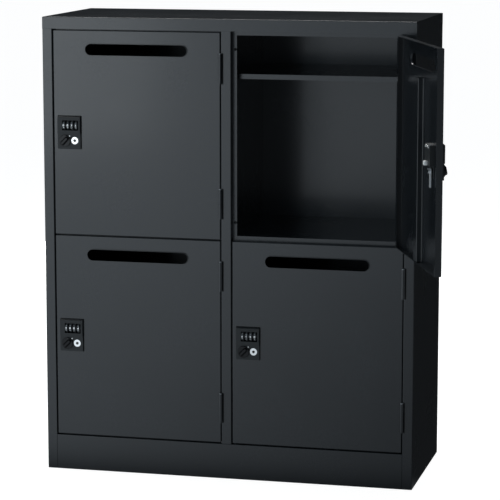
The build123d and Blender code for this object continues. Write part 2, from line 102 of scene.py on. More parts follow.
def peel_group():
    """Skin of a sprayed or moulded surface: fine peel, and broad patches of sheen."""
    tree, given, made = new_tree(
        "peel_and_patches",
        "ShaderNodeTree",
        [
            ("Peel Size", "NodeSocketFloat", 0.0012),
            ("Sheen", "NodeSocketFloat", 0.4),
            ("Sheen Spread", "NodeSocketFloat", 0.05),
        ],
        [
            ("Height", "NodeSocketFloat"),
            ("Roughness", "NodeSocketFloat"),
            ("Patch", "NodeSocketFloat"),
        ],
    )
    place = node(tree, "ShaderNodeTexCoord").outputs["Object"]
    scale = combined(tree, "DIVIDE", 1.0, given["Peel Size"])
    peel = node(
        tree,
        "ShaderNodeTexNoise",
        {"Vector": place, "Scale": scale, "Detail": 2.0, "Roughness": 0.55},
    ).outputs[0]
    broad = node(
        tree,
        "ShaderNodeTexNoise",
        {"Vector": place, "Scale": 5.5, "Detail": 4.0, "Roughness": 0.6},
    )
    patch = ramp(tree, broad.outputs[0], (0.3, 0.7))
    mixed = combined(tree, "ADD", patch, peel)
    spread = combined(tree, "SUBTRACT", mixed, 1.0)
    rough = combined(tree, "MULTIPLY_ADD", spread, given["Sheen Spread"], given["Sheen"])
    tree.links.new(peel, made["Height"])
    tree.links.new(rough, made["Roughness"])
    tree.links.new(patch, made["Patch"])
    return tree


def fold_wear_group():
    """Mask of the edges and folds, broken up along their length."""
    tree, given, made = new_tree(
        "wear_on_edges",
        "ShaderNodeTree",
        [("Edge Width", "NodeSocketFloat", 0.0012), ("Amount", "NodeSocketFloat", 0.5)],
        [("Edge", "NodeSocketFloat")],
    )
    rounded = node(tree, "ShaderNodeBevel", {"Radius": given["Edge Width"]}, samples=4)
    flat = node(tree, "ShaderNodeNewGeometry").outputs["True Normal"]
    dot = node(
        tree,
        "ShaderNodeVectorMath",
        {0: rounded.outputs[0], 1: flat},
        operation="DOT_PRODUCT",
    )
    edge = ramp(tree, dot.outputs["Value"], (0.995, 0.80))
    place = node(tree, "ShaderNodeTexCoord").outputs["Object"]
    breaks = node(
        tree,
        "ShaderNodeTexNoise",
        {"Vector": place, "Scale": 38.0, "Detail": 5.0, "Roughness": 0.65},
    )
    kept = ramp(tree, breaks.outputs[0], (0.38, 0.66))
    both = combined(tree, "MULTIPLY", edge, kept)
    tree.links.new(combined(tree, "MULTIPLY", both, given["Amount"]), made["Edge"])
    return tree


peel_and_patches = peel_group()
wear_on_edges = fold_wear_group()


def finish_material(name, deep, pale, worn, peel, wear, bump, shader_values):
    """A sprayed, moulded or plated finish: patches of two tones, worn edges and a peel."""
    material = bpy.data.materials.new(name)
    material.use_nodes = True
    tree = material.node_tree
    tree.nodes.clear()
    skin_values = zip(("Peel Size", "Sheen", "Sheen Spread"), peel)
    skin = node(tree, "ShaderNodeGroup", skin_values, node_tree=peel_and_patches)
    edge_values = zip(("Edge Width", "Amount"), wear)
    edges = node(tree, "ShaderNodeGroup", edge_values, node_tree=wear_on_edges)
    tones = node(
        tree,
        "ShaderNodeMix",
        {"Factor": skin.outputs["Patch"], 6: deep, 7: pale},
        data_type="RGBA",
    )
    colour = node(
        tree,
        "ShaderNodeMix",
        {"Factor": edges.outputs["Edge"], 6: tones.outputs[2], 7: worn},
        data_type="RGBA",
    )
    grain = node(
        tree,
        "ShaderNodeBump",
        {"Height": skin.outputs["Height"], "Strength": bump[0], "Distance": bump[1]},
    )
    shader = node(
        tree,
        "ShaderNodeBsdfPrincipled",
        {
            "Base Color": colour.outputs[2],
            "Roughness": skin.outputs["Roughness"],
            "Normal": grain.outputs[0],
            **shader_values,
        },
    )
    node(tree, "ShaderNodeOutputMaterial", {"Surface": shader.outputs[0]})
    return material


def coat_nodes(material, *names):
    """Gives CAD nodes their finish."""
    for name in names:
        slots = frame["nodes"][name].data.materials
        slots.clear()
        slots.append(material)


charcoal_powder_coat = finish_material(
    "charcoal_powder_coat",
    PAINT_DEEP,
    PAINT_PALE,
    PAINT_WORN,
    peel=(1.1 * MM, 0.26, 0.04),
    wear=(1.3 * MM, 0.55),
    bump=(0.25, 0.05 * MM),
    shader_values={"IOR": 1.5, "Coat Weight": 0.2, "Coat Roughness": 0.12},
)
DOORS = ("upper_left", "upper_right", "lower_left", "lower_right")
CABINET_SHEETS = (
    "side_panel_left",
    "side_panel_right",
    "top_panel",
    "back_panel",
    "plinth_frame",
    "centre_post",
    "centre_partition",
    "decks",
    "mail_shelves",
    "shelf_brackets",
    "hinge_frame_halves",
)
DOOR_SHEETS = ("door_panel", "door_stiffener", "door_hinge_halves")
coat_nodes(charcoal_powder_coat, *CABINET_SHEETS)
coat_nodes(charcoal_powder_coat, *(f"{d}_{sheet}" for d in DOORS for sheet in DOOR_SHEETS))

# ---------------------------------------------------------------------------------------
# Spot welds: every fold that meets another sheet is tacked each 60 to 70 mm. The copper
# tips leave shallow rings, which the powder only softens: up the back and in the doors.
WELD_RADIUS, WELD_RISE, WELD_SINK = 3.0 * MM, 0.10 * MM, 0.05 * MM
UPRIGHTS, UPRIGHT_FOOT = (-3 * MM, 3 * MM), 145 * MM  # rows up the back
UPRIGHT_STEP, UPRIGHT_WELDS = 70 * MM, 13
LEVELS, LEVEL_STEP = (90 * MM, 582 * MM), 80 * MM  # rows across the back, along the decks
LEVEL_WELDS = (-5, -4, -3, -2, -1, 1, 2, 3, 4, 5)
DOOR_WELD_FOOT, DOOR_WELD_STEP, DOOR_WELDS = 25 * MM, 60 * MM, 7
STIFFENER_FOOT_MIDDLE, DOOR_SKINS = 19 * MM, 2 * MM
HINGE_STANDOFF = 4.8 * MM  # hinge axis in front of the doors' outer face
DOOR_MIDDLE = -205.5 * MM  # from the hinge axis


def joint(name):
    """A joint of the frame by its name."""
    return next(j for j in frame["joints"] if j["name"] == name)


def hung(door, along=0.0, up=0.0):
    """Matrix from a door's front, seen square on, to its place: x right, y up, z outwards.

    Its origin is on the outer face at the hinge axis and the lower edge, plus along and up.
    """
    right = Vector(joint(f"{door}_dial_1_spin")["axis"])
    inwards = Vector(joint(f"{door}_knob_turn")["axis"])
    hinge = Vector(joint(f"{door}_door_hinge")["pos_m"])
    foot = Vector((hinge.x, hinge.y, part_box(f"{door}_door_panel")[0].z))
    origin = foot + inwards * HINGE_STANDOFF + right * along + Vector((0, 0, up))
    turn = Matrix((right, (0, 0, 1), -inwards)).transposed().to_4x4()
    return Matrix.Translation(origin) @ turn


def turned(profile, sides=24):
    """Mesh of a profile, as (radius, height) pairs, turned about the Z axis and closed."""
    mesh, shape, rings = bpy.data.meshes.new("turned"), bmesh.new(), []
    for radius, height in profile:
        if radius == 0:
            rings.append([shape.verts.new((0, 0, height))] * sides)
            continue
        angles = [2 * pi * i / sides for i in range(sides)]
        rings.append([shape.verts.new((radius * cos(a), radius * sin(a), height)) for a in angles])
    for below, above in zip(rings, rings[1:]):
        for i in range(sides):
            j = (i + 1) % sides
            corners = (below[i], below[j], above[j], above[i])
            shape.faces.new(list(dict.fromkeys(corners)))
    bmesh.ops.recalc_face_normals(shape, faces=shape.faces)
    shape.to_mesh(mesh)
    shape.free()
    return mesh


def placed_object(name, data):
    """An object for a mesh, text, light or camera, in the scene."""
    made = bpy.data.objects.new(name, data)
    bpy.context.scene.collection.objects.link(made)
    return made


def heads_group():
    """A head at every point, standing along the point's facing, each turned by chance."""
    tree, given, made = new_tree(
        "heads_on_points",
        "GeometryNodeTree",
        [
            ("Points", "NodeSocketGeometry", None),
            ("Head", "NodeSocketObject", None),
            ("Head Size", "NodeSocketFloat", 1.0),
            ("Largest Turn", "NodeSocketFloat", 0.0),
            ("Turn Seed", "NodeSocketInt", 7),
            ("Finish", "NodeSocketMaterial", None),
        ],
        [("Geometry", "NodeSocketGeometry")],
    )
    facing = node(
        tree, "GeometryNodeInputNamedAttribute", {"Name": "facing"}, data_type="FLOAT_VECTOR"
    )
    stand = node(
        tree, "FunctionNodeAlignRotationToVector", {"Vector": facing.outputs[0]}, axis="Z"
    )
    head = node(tree, "GeometryNodeObjectInfo", {"Object": given["Head"]})
    put = node(
        tree,
        "GeometryNodeInstanceOnPoints",
        {
            "Points": given["Points"],
            "Instance": head.outputs["Geometry"],
            "Rotation": stand.outputs[0],
            "Scale": given["Head Size"],
        },
    )
    chance = node(
        tree,
        "FunctionNodeRandomValue",
        {2: 0.0, 3: given["Largest Turn"], "Seed": given["Turn Seed"]},
        data_type="FLOAT",
    )
    about = node(tree, "ShaderNodeCombineXYZ", {"Z": chance.outputs[1]})
    spun = node(
        tree,
        "GeometryNodeRotateInstances",
        {"Instances": put.outputs[0], "Rotation": about.outputs[0]},
    )
    real = node(tree, "GeometryNodeRealizeInstances", {"Geometry": spun.outputs[0]})
    coated = node(
        tree,
        "GeometryNodeSetMaterial",
        {"Geometry": real.outputs[0], "Material": given["Finish"]},
    )
    tree.links.new(coated.outputs[0], made["Geometry"])
    return tree


heads_on_points = heads_group()


def grown(tree, base, values):
    """The plain mesh that the tree makes from base and values. Base is used up."""
    modifier = base.modifiers.new(tree.name, "NODES")
    modifier.node_group = tree
    for item in tree.interface.items_tree:
        if item.item_type == "SOCKET" and item.in_out == "INPUT" and item.name in values:
            modifier[item.identifier] = values[item.name]
    evaluated = base.evaluated_get(bpy.context.evaluated_depsgraph_get())
    mesh = bpy.data.meshes.new_from_object(evaluated)
    bpy.data.objects.remove(base)
    return mesh


def headed(points, head, material, turn=0.0, seed=7):
    """Mesh of one head at each (place, facing) pair."""
    mesh = bpy.data.meshes.new("points")
    mesh.from_pydata([Vector(place) for place, _ in points], [], [])
    facing = mesh.attributes.new("facing", "FLOAT_VECTOR", "POINT")
    facing.data.foreach_set("vector", [x for _, direction in points for x in direction])
    values = {"Head": head, "Head Size": 1.0, "Largest Turn": turn, "Turn Seed": seed}
    return grown(heads_on_points, placed_object("points", mesh), {**values, "Finish": material})


SHARP_FOLD = radians(32)  # a crease sharper than this stays crisp


def piece(name, mesh, material, body):
    """A finished piece at the origin that rides on a body."""
    shape = bmesh.new()
    shape.from_mesh(mesh)
    bmesh.ops.remove_doubles(shape, verts=shape.verts, dist=1e-7)
    bmesh.ops.recalc_face_normals(shape, faces=shape.faces)
    shape.to_mesh(mesh)
    shape.free()
    mesh.materials.clear()
    mesh.materials.append(material)
    mesh.polygons.foreach_set("material_index", [0] * len(mesh.polygons))
    mesh.shade_smooth()
    mesh.set_sharp_from_angle(angle=SHARP_FOLD)
    made = placed_object(name, mesh)
    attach(made, body)


weld_ring = placed_object(
    "weld_ring",
    turned(
        [
            (0, -WELD_SINK),
            (WELD_RADIUS, -WELD_SINK),
            (WELD_RADIUS * 0.80, WELD_RISE * 0.7),
            (WELD_RADIUS * 0.68, WELD_RISE),
            (WELD_RADIUS * 0.52, WELD_RISE * 0.5),
            (0, WELD_RISE * 0.3),
        ]
    ),
)
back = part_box("back_panel")[1].y
heights = [UPRIGHT_FOOT + UPRIGHT_STEP * row for row in range(UPRIGHT_WELDS)]
places = [(x, back, z) for x in UPRIGHTS for z in heights]
places += [(LEVEL_STEP * weld, back, z) for z in LEVELS for weld in LEVEL_WELDS]
back_welds = [(place, (0, 1, 0)) for place in places]
mesh = headed(back_welds, weld_ring, charcoal_powder_coat)
piece("back_weld_marks", mesh, charcoal_powder_coat, "cabinet")
heights = [DOOR_WELD_FOOT + DOOR_WELD_STEP * row for row in range(DOOR_WELDS)]
lines = [DOOR_MIDDLE + side * STIFFENER_FOOT_MIDDLE for side in (-1, 1)]
door_welds = [((x, y, -DOOR_SKINS), (0, 0, -1)) for x in lines for y in heights]
for door in DOORS:
    mesh = headed(door_welds, weld_ring, charcoal_powder_coat)
    mesh.transform(hung(door))
    piece(f"{door}_weld_marks", mesh, charcoal_powder_coat, f"{door}_door")
bpy.data.objects.remove(weld_ring)

# ---------------------------------------------------------------------------------------
# Bracket screws: M4 pan-head cross-recess screws, zinc plated, hold the mail shelves'
# angles to the partition and the sides. A power driver leaves each cross at its own turn.
SCREW_RADIUS, SCREW_RIM, SCREW_HEIGHT, SCREW_SINK = 3.9 * MM, 0.5 * MM, 2.1 * MM, 0.2 * MM
SCREW_FLAT = 0.45  # flat part of the head, of its radius
CROSS_REACH, CROSS_WIDTH, CROSS_DEPTH = 2.1 * MM, 0.8 * MM, 3.0 * MM
CROSS_TAPER = 0.35  # size at the cutter's tip
SCREW_PLACES = (-120 * MM, 15 * MM, 150 * MM)
SCREW_TURN, SCREW_SEED = pi / 2, 11
ANGLE_SHEET, ANGLE_LEG = 1 * MM, 15 * MM
ANGLE_MIDDLE = 8.5 * MM  # middle of the leg, under its top

zinc_plate = finish_material(
    "zinc_plate",
    (0.66, 0.67, 0.68, 1),
    (0.76, 0.77, 0.78, 1),
    (0.85, 0.86, 0.87, 1),
    peel=(0.6 * MM, 0.44, 0.1),
    wear=(0.4 * MM, 0.6),
    bump=(0.2, 0.03 * MM),
    shader_values={"Metallic": 0.8},
)


def cross_recess_screw():
    """A pan head with a tapered cross sunk in it."""
    dome = [(0, -SCREW_SINK), (SCREW_RADIUS, -SCREW_SINK), (SCREW_RADIUS, SCREW_RIM)]
    for step in range(1, 6):
        angle = radians(18 * step)
        rise = SCREW_RIM + (SCREW_HEIGHT - SCREW_RIM) * sin(angle)
        dome.append((SCREW_RADIUS * (SCREW_FLAT + (1 - SCREW_FLAT) * cos(angle)), rise))
    screw = placed_object("screw", turned(dome + [(0, SCREW_HEIGHT)]))
    cutter = bmesh.new()
    for along, across in ((CROSS_REACH, CROSS_WIDTH), (CROSS_WIDTH, CROSS_REACH)):
        for vertex in bmesh.ops.create_cube(cutter, size=1.0)["verts"]:
            taper = 1.0 if vertex.co.z > 0 else CROSS_TAPER
            size = (2 * along * taper, 2 * across * taper, CROSS_DEPTH)
            vertex.co = Vector([c * k for c, k in zip(vertex.co, size)])
            vertex.co.z += SCREW_HEIGHT
    mesh = bpy.data.meshes.new("cross")
    cutter.to_mesh(mesh)
    cutter.free()
    cross = placed_object("cross", mesh)
    cut = screw.modifiers.new("recess", "BOOLEAN")
    cut.object, cut.operation, cut.solver = cross, "DIFFERENCE", "EXACT"
    cut.use_self = True
    evaluated = screw.evaluated_get(bpy.context.evaluated_depsgraph_get())
    finished = bpy.data.meshes.new_from_object(evaluated)
    bpy.data.objects.remove(cross)
    bpy.data.objects.remove(screw)
    return placed_object("cross_recess_screw", finished)


screw = cross_recess_screw()
low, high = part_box("shelf_brackets")
levels = (high.z - ANGLE_MIDDLE, low.z + ANGLE_LEG - ANGLE_MIDDLE)
inner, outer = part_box("centre_partition")[1].x + ANGLE_SHEET, high.x - ANGLE_SHEET
bracket_screws = []
for side in (-1, 1):
    for level in levels:
        for place in SCREW_PLACES:
            bracket_screws.append(((side * inner, place, level), (side, 0, 0)))
            bracket_screws.append(((side * outer, place, level), (-side, 0, 0)))
mesh = headed(bracket_screws, screw, zinc_plate, SCREW_TURN, SCREW_SEED)
piece("bracket_screws", mesh, zinc_plate, "cabinet")
bpy.data.objects.remove(screw)

# ---------------------------------------------------------------------------------------
# Door buffers: soft black rubber buttons, pressed into the lips that stop the doors on
# the lock side, so that the doors close without a clang.
BUFFER_RADIUS, BUFFER_RISE, BUFFER_SINK, BUFFER_FOOT = 3.6 * MM, 1.5 * MM, 0.3 * MM, 0.1 * MM
BUFFER_INSETS = (40 * MM, 449 * MM)  # above a door's lower edge
DOOR_WIDTH, DOOR_GAP, LIP_OVERLAP = 409 * MM, 1 * MM, 3.6 * MM
STOP_FACE = -173 * MM  # front of the lips that stop the doors

buffer_rubber = finish_material(
    "buffer_rubber",
    (0.010, 0.010, 0.010, 1),
    (0.018, 0.018, 0.018, 1),
    (0.050, 0.050, 0.048, 1),
    peel=(0.5 * MM, 0.72, 0.08),
    wear=(0.6 * MM, 0.4),
    bump=(0.5, 0.05 * MM),
    shader_values={"IOR": 1.45},
)
button = placed_object(
    "button",
    turned(
        [
            (0, -BUFFER_SINK),
            (BUFFER_RADIUS * 0.9, -BUFFER_SINK),
            (BUFFER_RADIUS, BUFFER_FOOT),
            (BUFFER_RADIUS * 0.96, BUFFER_RISE * 0.6),
            (BUFFER_RADIUS * 0.78, BUFFER_RISE * 0.92),
            (BUFFER_RADIUS * 0.4, BUFFER_RISE),
            (0, BUFFER_RISE),
        ]
    ),
)
buffers = []
for door in DOORS:
    hinge = Vector(joint(f"{door}_door_hinge")["pos_m"])
    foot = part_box(f"{door}_door_panel")[0].z
    edge = hinge.x - DOOR_GAP - DOOR_WIDTH + LIP_OVERLAP
    buffers += [((edge, STOP_FACE, foot + inset), (0, -1, 0)) for inset in BUFFER_INSETS]
mesh = headed(buffers, button, buffer_rubber)
piece("door_buffers", mesh, buffer_rubber, "cabinet")
bpy.data.objects.remove(button)

# ---------------------------------------------------------------------------------------
# Hinge pin tips: the pins are turned from bright bar with a domed end that shows above
# the barrel, where the door lifts on. They are left unpainted, so that they stay slick.
TIP_RADIUS, TIP_RISE, TIP_FOOT, TIP_RIM = 3.1 * MM, 1.7 * MM, 0.1 * MM, 0.6 * MM
BARREL_HALF, HINGE_INSETS = 35 * MM, (85 * MM, 404 * MM)
tip = placed_object(
    "tip",
    turned(
        [
            (0, TIP_FOOT),
            (TIP_RADIUS, TIP_FOOT),
            (TIP_RADIUS, TIP_RIM),
            (TIP_RADIUS * 0.86, TIP_RISE * 0.72),
            (TIP_RADIUS * 0.5, TIP_RISE * 0.95),
            (0, TIP_RISE),
        ]
    ),
)
tips = []
for door in DOORS:
    hinge = Vector(joint(f"{door}_door_hinge")["pos_m"])
    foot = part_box(f"{door}_door_panel")[0].z
    tops = [foot + inset + BARREL_HALF for inset in HINGE_INSETS]
    tips += [((hinge.x, hinge.y, top), (0, 0, 1)) for top in tops]
mesh = headed(tips, tip, zinc_plate)
piece("hinge_pin_tips", mesh, zinc_plate, "cabinet")
bpy.data.objects.remove(tip)

# ---------------------------------------------------------------------------------------
# Painted shadow beside the hinges: each hinge's barrel sits in a notch of the post, and a thin
# black rubber strip on the post beside it stands in for the shade there. One strip to a hinge.
STRIP_ACROSS, STRIP_PROUD, STRIP_SINK, STRIP_END = (4.3 * MM, 6.8 * MM), 0.4 * MM, 0.1 * MM, 1.5 * MM


def box_mesh(low, high, rounding=0.0, steps=4):
    """Mesh of a box from corner to corner, with its edges rounded if wanted."""
    shape = bmesh.new()
    for vertex in bmesh.ops.create_cube(shape, size=1.0)["verts"]:
        vertex.co = Vector([a + (c + 0.5) * (b - a) for a, b, c in zip(low, high, vertex.co)])
    if rounding:
        edges = shape.edges[:]
        bmesh.ops.bevel(
            shape, geom=edges, offset=rounding, segments=steps, profile=0.5, affect="EDGES"
        )
    mesh = bpy.data.meshes.new("box")
    shape.to_mesh(mesh)
    shape.free()
    return mesh


shadow_strips = bmesh.new()
for door in DOORS:
    hinge = Vector(joint(f"{door}_door_hinge")["pos_m"])
    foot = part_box(f"{door}_door_panel")[0].z
    face = hinge.y + HINGE_STANDOFF
    for inset in HINGE_INSETS:
        middle, reach = foot + inset, BARREL_HALF + STRIP_END
        low = (hinge.x + STRIP_ACROSS[0], face - STRIP_PROUD, middle - reach)
        high = (hinge.x + STRIP_ACROSS[1], face + STRIP_SINK, middle + reach)
        shadow_strips.from_mesh(box_mesh(low, high, STRIP_SINK, 2))
mesh = bpy.data.meshes.new("hinge_notch_seals")
shadow_strips.to_mesh(mesh)
shadow_strips.free()
# Black strips as painted shadow, on the post beside each barrel.
piece("hinge_notch_seals", mesh, buffer_rubber, "cabinet")

# ---------------------------------------------------------------------------------------
# Mail slot lips: the door's skin is drawn inwards round each slot to a smooth rolled edge,
# so that letters and fingers meet no raw steel. One lip to a door, painted with the door.
SLOT_LENGTH, SLOT_HEIGHT = 250 * MM, 28 * MM
SLOT_DROP = 45 * MM  # slot's middle under the door's top edge
LIP_BEAD, LIP_RISE, LIP_DEPTH, LIP_WALL = 1.6 * MM, 0.35 * MM, 3.2 * MM, 0.5 * MM


def line_object(name, points):
    """A closed line of edges through flat points, for a tree to sweep along."""
    count = len(points)
    mesh = bpy.data.meshes.new(name)
    mesh.from_pydata([(*p, 0) for p in points], [(i, (i + 1) % count) for i in range(count)], [])
    return placed_object(name, mesh)


def sweep_group():
    """A profile, drawn as outwards and up, swept along a flat line."""
    tree, given, made = new_tree(
        "profile_along_line",
        "GeometryNodeTree",
        [
            ("Line", "NodeSocketGeometry", None),
            ("Profile", "NodeSocketObject", None),
            ("Profile Size", "NodeSocketFloat", 1.0),
            ("Finish", "NodeSocketMaterial", None),
        ],
        [("Geometry", "NodeSocketGeometry")],
    )
    path = node(tree, "GeometryNodeMeshToCurve", {"Mesh": given["Line"]})
    level = node(tree, "GeometryNodeSetCurveNormal", {"Curve": path.outputs[0]}, mode="Z_UP")
    drawn = node(tree, "GeometryNodeObjectInfo", {"Object": given["Profile"]})
    size = node(
        tree,
        "GeometryNodeTransform",
        {"Geometry": drawn.outputs["Geometry"], "Scale": given["Profile Size"]},
    )
    outline = node(tree, "GeometryNodeMeshToCurve", {"Mesh": size.outputs[0]})
    swept = node(
        tree,
        "GeometryNodeCurveToMesh",
        {"Curve": level.outputs[0], "Profile Curve": outline.outputs[0]},
    )
    real = node(tree, "GeometryNodeRealizeInstances", {"Geometry": swept.outputs[0]})
    coated = node(
        tree,
        "GeometryNodeSetMaterial",
        {"Geometry": real.outputs[0], "Material": given["Finish"]},
    )
    tree.links.new(coated.outputs[0], made["Geometry"])
    return tree


profile_along_line = sweep_group()


def arc(centre, radius, start, end, steps):
    """Points round part of a circle, angles in degrees."""
    turns = [radians(start + (end - start) * i / steps) for i in range(steps + 1)]
    return [(centre[0] + radius * cos(t), centre[1] + radius * sin(t)) for t in turns]


def slot_outline(length, height, steps=20):
    """A slot with round ends about the origin, anticlockwise."""
    run = (length - height) / 2
    right = arc((run, 0), height / 2, -90, 90, steps)
    return right + arc((-run, 0), height / 2, 90, 270, steps)


lip_profile = line_object(
    "lip_profile",
    [(-LIP_WALL, -LIP_DEPTH), (0, -LIP_DEPTH), (0, -LIP_RISE), (LIP_BEAD, -LIP_RISE)]
    + arc((LIP_BEAD / 2, 0), LIP_BEAD / 2, 0, 110, 6)
    + [(0, LIP_RISE), (-LIP_WALL * 0.7, 0), (-LIP_WALL, -LIP_WALL)],
)
for door in DOORS:
    low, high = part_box(f"{door}_door_panel")
    lip = grown(
        profile_along_line,
        line_object("slot_line", slot_outline(SLOT_LENGTH, SLOT_HEIGHT)),
        {"Profile": lip_profile, "Profile Size": 1.0, "Finish": charcoal_powder_coat},
    )
    lip.transform(hung(door, DOOR_MIDDLE, high.z - low.z - SLOT_DROP))
    piece(f"{door}_mail_slot_lip", lip, charcoal_powder_coat, f"{door}_door")
bpy.data.objects.remove(lip_profile)

# ---------------------------------------------------------------------------------------
# Dial locks: a black ABS case, moulded against a spark-eroded tool, which leaves a matt
# grain. Four code wheels of harder satin plastic turn on one axle behind its window.
LOCK_ALONG, LOCK_UP = -400 * MM, 207 * MM  # lower left corner of the case

lock_case_plastic = finish_material(
    "lock_case_plastic",
    (0.012, 0.014, 0.015, 1),
    (0.017, 0.019, 0.020, 1),
    (0.085, 0.088, 0.090, 1),
    peel=(0.45 * MM, 0.48, 0.06),
    wear=(0.6 * MM, 0.6),
    bump=(0.6, 0.06 * MM),
    shader_values={"IOR": 1.5, "Specular IOR Level": 0.36},
)
code_wheel_plastic = finish_material(
    "code_wheel_plastic",
    (0.040, 0.043, 0.046, 1),
    (0.050, 0.053, 0.056, 1),
    (0.090, 0.093, 0.096, 1),
    peel=(0.3 * MM, 0.45, 0.05),
    wear=(0.25 * MM, 0.5),
    bump=(0.3, 0.02 * MM),
    shader_values={"IOR": 1.5},
)
DIALS = (1, 2, 3, 4)
coat_nodes(lock_case_plastic, *(f"{d}_lock_case" for d in DOORS))
coat_nodes(code_wheel_plastic, *(f"{d}_dial_{n}" for d in DOORS for n in DIALS))

# ---------------------------------------------------------------------------------------
# Window frames: a shallow bevelled frame of the case's plastic, moulded apart and snapped
# in round the code wheels' window, which it stiffens. One frame to a lock.
WINDOW_MIDDLE, WINDOW_SIZE = (32.2 * MM, 56 * MM), (40 * MM, 24.2 * MM)
FRAME_WIDTH, FRAME_RISE, FRAME_SINK, FRAME_CORNER = 3.0 * MM, 0.7 * MM, 0.4 * MM, 0.8 * MM
FRAME_RIM = 0.1 * MM
BLOCK_RISE = 7 * MM  # dial block in front of the door


def rounded_outline(width, height, radius, steps=5):
    """A rectangle with round corners about the origin, anticlockwise."""
    x, y = width / 2 - radius, height / 2 - radius
    corners = ((x, -y, -90), (x, y, 0), (-x, y, 90), (-x, -y, 180))
    return [p for cx, cy, a in corners for p in arc((cx, cy), radius, a, a + 90, steps)]


frame_profile = line_object(
    "frame_profile",
    [
        (0, -FRAME_SINK),
        (FRAME_WIDTH, -FRAME_SINK),
        (FRAME_WIDTH, FRAME_RIM),
        (FRAME_WIDTH * 0.86, FRAME_RISE * 0.55),
        (FRAME_WIDTH * 0.35, FRAME_RISE),
        (FRAME_WIDTH * 0.12, FRAME_RISE),
        (0, FRAME_RISE * 0.7),
    ],
)
for door in DOORS:
    mesh = grown(
        profile_along_line,
        line_object("window_line", rounded_outline(*WINDOW_SIZE, FRAME_CORNER)),
        {"Profile": frame_profile, "Profile Size": 1.0, "Finish": lock_case_plastic},
    )
    mesh.transform(Matrix.Translation((0, 0, BLOCK_RISE)))
    mesh.transform(hung(door, LOCK_ALONG + WINDOW_MIDDLE[0], LOCK_UP + WINDOW_MIDDLE[1]))
    piece(f"{door}_window_frame", mesh, lock_case_plastic, f"{door}_door")
bpy.data.objects.remove(frame_profile)

# ---------------------------------------------------------------------------------------
# Numerals: 0 to 9 round each code wheel, hot-stamped in silver foil, which is bright where
# it faces the reader and dull where the drum turns away. A groove parts each pair.
DIGIT_HEIGHT, DIGIT_BOLDNESS, DIGIT_SLICES = 4.9 * MM, 0.012, 10
DRUM_RADIUS, DRUM_STEP = 11.5 * MM, radians(36)
FOIL_UNDER, FOIL_OVER = 0.25 * MM, 0.06 * MM
CODES = {
    "upper_left": (0, 0, 7, 1),
    "upper_right": (3, 0, 5, 8),
    "lower_left": (2, 8, 0, 4),
    "lower_right": (6, 1, 9, 0),
}

silver_foil = finish_material(
    "silver_foil",
    (0.86, 0.86, 0.85, 1),
    (0.93, 0.93, 0.92, 1),
    (0.70, 0.70, 0.69, 1),
    peel=(0.2 * MM, 0.30, 0.06),
    wear=(0.15 * MM, 0.4),
    bump=(0.2, 0.01 * MM),
    shader_values={"Metallic": 0.9},
)


def numeral(digit):
    """A flat solid numeral, centred, in slices that can bend round the drum."""
    text = bpy.data.curves.new("numeral", "FONT")
    text.body = str(digit)
    text.size = 1.0
    text.extrude = 0.5
    text.offset = DIGIT_BOLDNESS
    text.resolution_u = 3
    holder = placed_object("numeral", text)
    evaluated = holder.evaluated_get(bpy.context.evaluated_depsgraph_get())
    flat = bpy.data.meshes.new_from_object(evaluated)
    bpy.data.objects.remove(holder)
    shape = bmesh.new()
    shape.from_mesh(flat)
    bmesh.ops.remove_doubles(shape, verts=shape.verts, dist=1e-5)
    low = [min(v.co[i] for v in shape.verts) for i in range(3)]
    high = [max(v.co[i] for v in shape.verts) for i in range(3)]
    width = DIGIT_HEIGHT * (high[0] - low[0]) / (high[1] - low[1])
    size = (width, DIGIT_HEIGHT, FOIL_UNDER + FOIL_OVER)
    for vertex in shape.verts:
        x, y, z = [(vertex.co[i] - low[i]) / (high[i] - low[i]) for i in range(3)]
        vertex.co = Vector(
            ((x - 0.5) * size[0], (y - 0.5) * size[1], z * size[2] - FOIL_UNDER)
        )
    for step in range(1, DIGIT_SLICES):
        level = (step / DIGIT_SLICES - 0.5) * DIGIT_HEIGHT
        bmesh.ops.bisect_plane(
            shape,
            geom=shape.verts[:] + shape.edges[:] + shape.faces[:],
            dist=1e-8,
            plane_co=(0, level, 0),
            plane_no=(0, 1, 0),
        )
    bmesh.ops.triangulate(shape, faces=shape.faces)
    points = [v.co.copy() for v in shape.verts]
    shape.verts.index_update()
    faces = [[v.index for v in f.verts] for f in shape.faces]
    shape.free()
    return points, faces


numerals = [numeral(digit) for digit in range(10)]
for door in DOORS:
    for number, shown in zip(DIALS, CODES[door]):
        turning = joint(f"{door}_dial_{number}_spin")
        axle, right = Vector(turning["pos_m"]), Vector(turning["axis"])
        outwards = -Vector(joint(f"{door}_knob_turn")["axis"])
        points, faces = [], []
        for step in range(10):
            digit_points, digit_faces = numerals[(shown + step) % 10]
            base = len(points)
            for p in digit_points:
                angle = DRUM_STEP * step + p.y / DRUM_RADIUS
                radial = outwards * cos(angle) + Vector((0, 0, sin(angle)))
                points.append(axle + right * p.x + radial * (DRUM_RADIUS + p.z))
            faces += [[i + base for i in face] for face in digit_faces]
        mesh = bpy.data.meshes.new("numerals")
        mesh.from_pydata(points, [], faces)
        wheel = f"{door}_dial_{number}"
        piece(f"{wheel}_numerals", mesh, silver_foil, wheel)
